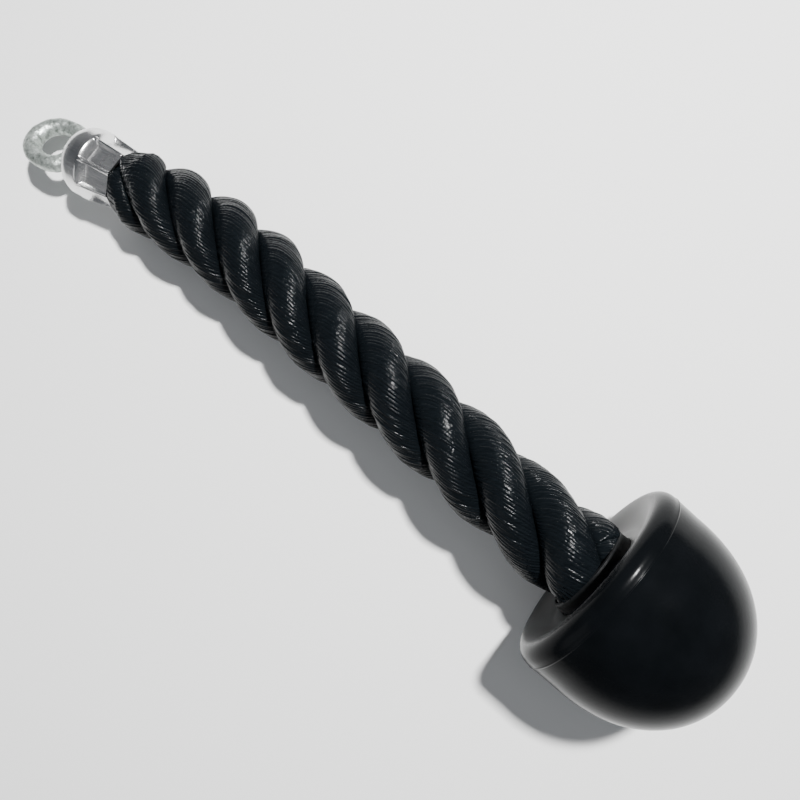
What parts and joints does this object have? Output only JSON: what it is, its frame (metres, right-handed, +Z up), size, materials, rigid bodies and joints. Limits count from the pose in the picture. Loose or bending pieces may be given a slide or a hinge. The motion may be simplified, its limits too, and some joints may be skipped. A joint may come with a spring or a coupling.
{
  "type": "triceps rope attachment",
  "caption": "Single-grip triceps rope for a cable machine: laid rope with a swivel eye pressed on one end and a rubber stopper moulded on the other.",
  "frame": {"origin": "on the floor under the middle of the object's box, as it lies at rest", "axes": "+X from the eye to the stopper, +Y to the left of that, +Z up"},
  "size_m": [0.3008, 0.0672, 0.0673],
  "materials": {
    "stopper_rubber": "smooth satin black",
    "rope_yarn": "black multifilament with a sheen",
    "black_tape": "matt black tape",
    "polished_aluminium": "polished, with press marks",
    "galvanised_steel": "hot galvanised, rough and grey-green",
    "plain_steel": "bare turned steel"
  },
  "bodies": {
    "grip": {"stopper": "stopper_rubber", "mouth_tape": "black_tape", "end_ring": "plain_steel", "rope_strand_1": "rope_yarn", "rope_strand_2": "rope_yarn", "rope_strand_3": "rope_yarn"},
    "head": {"ferrule": "polished_aluminium", "eye_washer": "plain_steel"},
    "eye": {"eye": "galvanised_steel"}
  },
  "joints": [
    {"name": "rope_bend", "type": "hinge", "parent": "grip", "child": "head", "pos_m": [-0.0032, 0.00191, 0.02353], "axis": [-0.091, 0, 0.9959], "range_deg": [-40, 40], "stiffness_Nm_per_rad": 0.8, "deforming": ["rope_strand_1", "rope_strand_2", "rope_strand_3"]},
    {"name": "eye_swivel", "type": "hinge", "parent": "head", "child": "eye", "pos_m": [-0.12786, -0.00934, 0.01215], "axis": [0.9734, 0.2113, 0.0889], "continuous": true}
  ]
}
